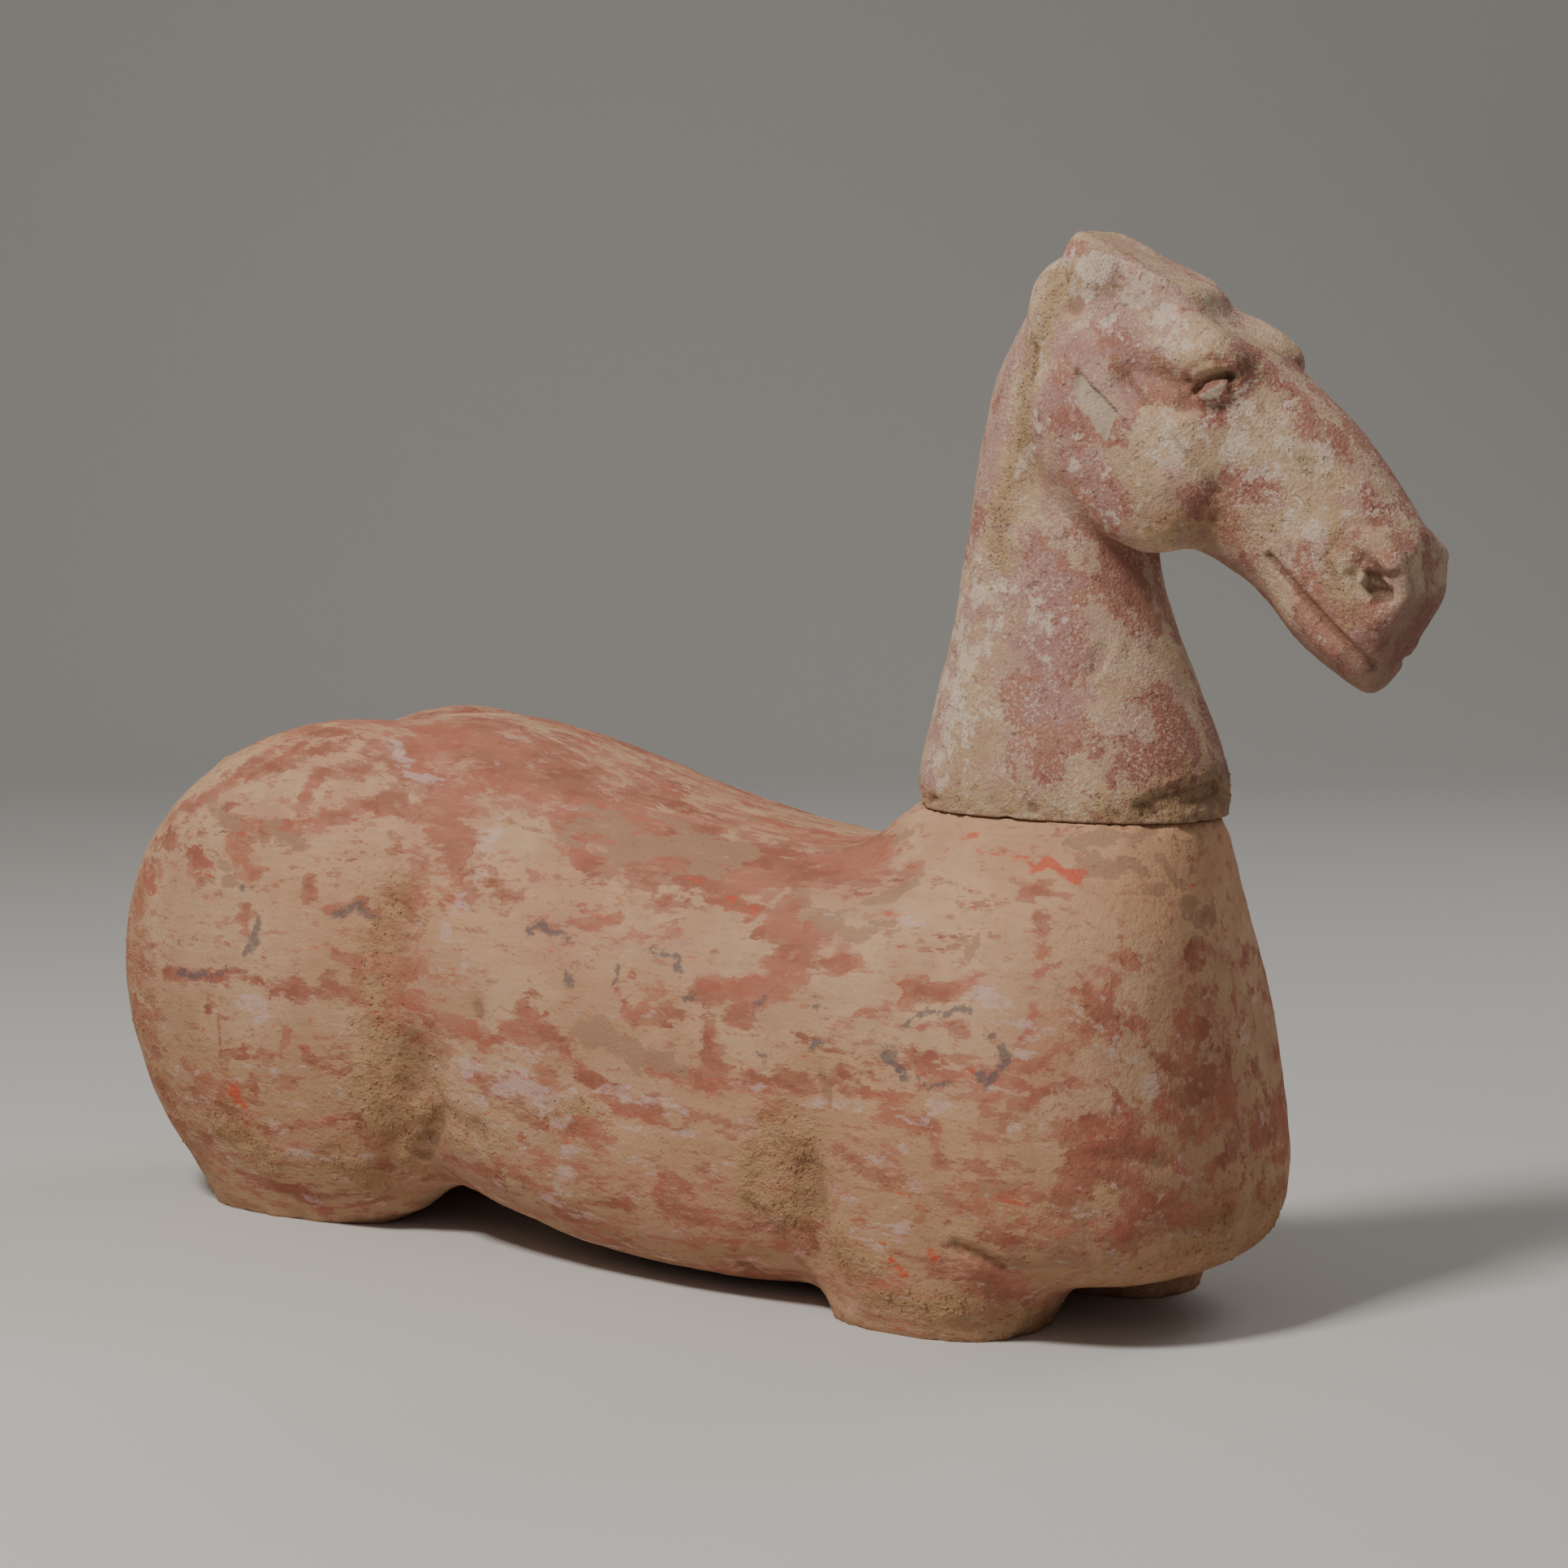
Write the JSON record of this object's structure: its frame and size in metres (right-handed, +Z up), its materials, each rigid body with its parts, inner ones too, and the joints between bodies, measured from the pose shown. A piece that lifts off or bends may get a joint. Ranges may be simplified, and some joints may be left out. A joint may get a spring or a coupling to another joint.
{
  "type": "pottery horse",
  "caption": "Ancient painted pottery horse without legs: hollow clay torso with short leg stumps, and a loose neck and head that stands on the cut neck stump.",
  "frame": {"origin": "on the floor under the middle of the whole horse's bounding box", "axes": "+X forward, the way the horse faces; +Y to the horse's left; +Z up"},
  "size_m": [0.7364, 0.2106, 0.5014],
  "materials": {
    "torso_clay": "matte, worn cream slip with flaked red paint",
    "head_clay": "matte, rough worn slip with traces of red and lilac paint"
  },
  "bodies": {
    "root": {"horse_torso": "torso_clay", "head_and_neck": "head_clay"}
  },
  "joints": []
}
